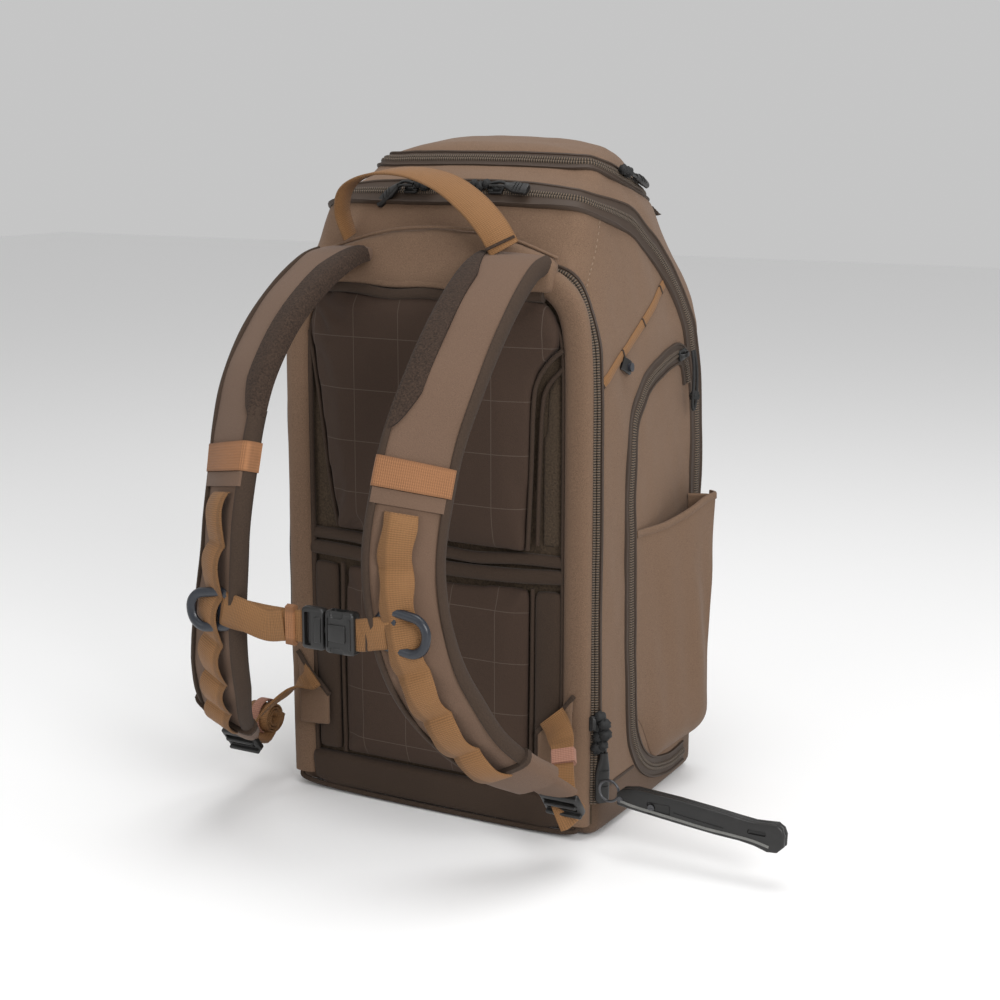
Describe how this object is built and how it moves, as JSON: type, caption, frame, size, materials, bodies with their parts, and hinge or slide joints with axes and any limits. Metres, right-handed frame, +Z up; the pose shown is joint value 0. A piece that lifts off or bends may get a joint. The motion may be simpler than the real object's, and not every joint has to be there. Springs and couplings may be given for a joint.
{
  "type": "hunting daypack",
  "caption": "Framed hunting daypack with zipped back panel, side doors, clamshell front, lidded top pocket, padded harness, sternum strap and a sheathed tool on a ring.",
  "frame": {"origin": "centre of the flat base, where the pack stands", "axes": "+Z up, -Y towards the harness and the wearer's back, +X to the right seen from the harness side"},
  "size_m": [0.497, 0.4059, 0.56],
  "materials": {
    "brown_cloth": "matt woven polyester, mid brown",
    "dark_cloth": "dark brown woven facing",
    "foam_pad": "smooth brushed facing over foam",
    "coyote_webbing": "ribbed tan webbing",
    "zip_tape": "black-brown zip tape with coil teeth",
    "black_plastic": "moulded black nylon",
    "sheet_plastic": "thin frame sheet",
    "stay_metal": "flat aluminium bar",
    "steel_ring": "blackened steel",
    "elastic": "ribbed tan elastic"
  },
  "bodies": {
    "pack": {"main_shell": "brown_cloth", "base_boot": "dark_cloth", "main_zip_tape": "zip_tape", "rear_zip_tape": "zip_tape", "side_zip_tapes": "zip_tape", "seam_strips": "coyote_webbing", "snap_tabs": "black_plastic"},
    "front_flap": {"front_panel": "brown_cloth", "top_pocket_floor": "dark_cloth"},
    "lid": {"lid_panel": "brown_cloth"},
    "side_door_right": {"door_panel_right": "brown_cloth", "bottle_pocket_right": "brown_cloth"},
    "side_door_left": {"door_panel_left": "brown_cloth", "bottle_pocket_left": "brown_cloth"},
    "back_panel": {"rear_panel": "brown_cloth", "frame_sheet": "sheet_plastic", "frame_stays": "stay_metal", "water_sleeve": "dark_cloth", "upper_back_pad": "foam_pad", "lumbar_pad": "foam_pad", "yoke": "brown_cloth", "shoulder_strap_right": "brown_cloth", "shoulder_strap_left": "brown_cloth", "daisy_chain_right": "coyote_webbing", "daisy_chain_left": "coyote_webbing", "elastic_bands": "elastic", "strap_end_right": "brown_cloth", "strap_end_left": "brown_cloth", "harness_wings": "brown_cloth", "lower_webbing_right": "coyote_webbing", "lower_webbing_left": "coyote_webbing", "webbing_tail_right": "coyote_webbing", "webbing_roll_left": "coyote_webbing", "roll_keeper_left": "elastic"},
    "adjuster_right": {"ladder_lock_right": "black_plastic"},
    "adjuster_left": {"ladder_lock_left": "black_plastic"},
    "grab_handle": {"grab_webbing": "coyote_webbing"},
    "chest_right": {"chest_slider_right": "black_plastic", "chest_webbing_right": "coyote_webbing", "buckle_socket": "black_plastic"},
    "chest_left": {"chest_slider_left": "black_plastic"},
    "chest_plug": {"chest_webbing_left": "coyote_webbing", "chest_keeper": "elastic", "buckle_plug": "black_plastic"},
    "prong_upper": {"buckle_prong_upper": "black_plastic"},
    "prong_lower": {"buckle_prong_lower": "black_plastic"},
    "main_zip_right": {"main_slider_right": "black_plastic"},
    "main_zip_left": {"main_slider_left": "black_plastic"},
    "main_tab_right": {"main_pull_right": "black_plastic"},
    "main_tab_left": {"main_pull_left": "black_plastic"},
    "rear_zip": {"rear_slider": "black_plastic"},
    "rear_tab": {"rear_pull": "black_plastic"},
    "side_zip_right": {"side_slider_right": "black_plastic"},
    "side_zip_left": {"side_slider_left": "black_plastic"},
    "side_tab_right": {"side_pull_right": "black_plastic"},
    "side_tab_left": {"side_pull_left": "black_plastic"},
    "tool_link": {"tool_ring": "steel_ring"},
    "tool": {"sheath_near": "black_plastic", "sheath_far": "black_plastic", "sheath_screw": "steel_ring"}
  },
  "joints": [
    {"name": "front_flap_open", "type": "hinge", "parent": "pack", "child": "front_flap", "pos_m": [0, 0.11, 0.045], "axis": [-1, 0, 0], "range_deg": [0, 75]},
    {"name": "lid_open", "type": "hinge", "parent": "front_flap", "child": "lid", "pos_m": [0, 0.11, 0.5], "axis": [-1, 0, 0], "range_deg": [0, 70]},
    {"name": "side_door_open_right", "type": "hinge", "parent": "pack", "child": "side_door_right", "pos_m": [0.148, 0.084, 0.16], "axis": [0, 0, 1], "range_deg": [0, 80]},
    {"name": "side_door_open_left", "type": "hinge", "parent": "pack", "child": "side_door_left", "pos_m": [-0.148, 0.084, 0.16], "axis": [0, 0, -1], "range_deg": [0, 80]},
    {"name": "back_panel_open", "type": "hinge", "parent": "pack", "child": "back_panel", "pos_m": [0, -0.1, 0.016], "axis": [1, 0, 0], "range_deg": [0, 60]},
    {"name": "adjuster_tilt_right", "type": "hinge", "parent": "back_panel", "child": "adjuster_right", "pos_m": [0.151, -0.169, 0.055], "axis": [1, 0, 0], "range_deg": [-35, 35]},
    {"name": "adjuster_tilt_left", "type": "hinge", "parent": "back_panel", "child": "adjuster_left", "pos_m": [-0.151, -0.169, 0.055], "axis": [1, 0, 0], "range_deg": [-35, 35]},
    {"name": "grab_handle_tilt", "type": "hinge", "parent": "pack", "child": "grab_handle", "pos_m": [0, -0.1025, 0.4855], "axis": [1, 0, 0], "range_deg": [-15, 25], "stiffness_Nm_per_rad": 0.3},
    {"name": "chest_slide_right", "type": "slide", "parent": "back_panel", "child": "chest_right", "axis": [0, 0.1135, -0.9935], "range_m": [-0.015, 0.015]},
    {"name": "chest_slide_left", "type": "slide", "parent": "back_panel", "child": "chest_left", "axis": [0, 0.1135, -0.9935], "range_m": [-0.015, 0.015]},
    {"name": "chest_buckle_pull", "type": "slide", "parent": "chest_left", "child": "chest_plug", "axis": [-1, 0, 0], "range_m": [0, 0.03]},
    {"name": "prong_squeeze_upper", "type": "hinge", "parent": "chest_plug", "child": "prong_upper", "pos_m": [0.0223, -0.2896, 0.2157], "axis": [0, 1, 0], "range_deg": [0, 8], "stiffness_Nm_per_rad": 0.15},
    {"name": "prong_squeeze_lower", "type": "hinge", "parent": "chest_plug", "child": "prong_lower", "pos_m": [0.0223, -0.2896, 0.1953], "axis": [0, -1, 0], "range_deg": [0, 8], "stiffness_Nm_per_rad": 0.15},
    {"name": "main_zip_run_right", "type": "slide", "parent": "pack", "child": "main_zip_right", "axis": [1, 0, 0], "range_m": [0, 0.04]},
    {"name": "main_zip_run_left", "type": "slide", "parent": "pack", "child": "main_zip_left", "axis": [-1, 0, 0], "range_m": [0, 0.05]},
    {"name": "main_tab_swing_right", "type": "hinge", "parent": "main_zip_right", "child": "main_tab_right", "pos_m": [0.057, -0.0798, 0.5217], "axis": [0, 0.6159, -0.7878], "range_deg": [-30, 0]},
    {"name": "main_tab_swing_left", "type": "hinge", "parent": "main_zip_left", "child": "main_tab_left", "pos_m": [-0.044, -0.0798, 0.5217], "axis": [0, 0.6159, -0.7878], "range_deg": [0, 30]},
    {"name": "rear_zip_run", "type": "slide", "parent": "pack", "child": "rear_zip", "axis": [0, 0, 1], "range_m": [-0.04, 0.28]},
    {"name": "rear_tab_swing", "type": "hinge", "parent": "rear_zip", "child": "rear_tab", "pos_m": [0.1415, -0.1085, 0.098], "axis": [1, 0, 0], "range_deg": [-8, 0]},
    {"name": "side_zip_run_right", "type": "slide", "parent": "side_door_right", "child": "side_zip_right", "axis": [0, -1, 0], "range_m": [0, 0.05]},
    {"name": "side_zip_run_left", "type": "slide", "parent": "side_door_left", "child": "side_zip_left", "axis": [0, -1, 0], "range_m": [0, 0.05]},
    {"name": "side_tab_swing_right", "type": "hinge", "parent": "side_zip_right", "child": "side_tab_right", "pos_m": [0.1565, 0.061, 0.381], "axis": [0, -1, 0], "range_deg": [0, 50]},
    {"name": "side_tab_swing_left", "type": "hinge", "parent": "side_zip_left", "child": "side_tab_left", "pos_m": [-0.1565, 0.061, 0.381], "axis": [0, 1, 0], "range_deg": [0, 50]},
    {"name": "tool_link_swing", "type": "hinge", "parent": "rear_tab", "child": "tool_link", "pos_m": [0.157, -0.108, 0.048], "axis": [0, 0, 1], "range_deg": [-20, 20]},
    {"name": "tool_swing", "type": "hinge", "parent": "tool_link", "child": "tool", "pos_m": [0.176, -0.112, 0.048], "axis": [0, -1, 0], "range_deg": [0, 70]}
  ],
  "couplings": [
    {"joint": "chest_slide_left", "follows": "chest_slide_right", "ratio": 1},
    {"joint": "prong_squeeze_lower", "follows": "prong_squeeze_upper", "ratio": 1}
  ]
}
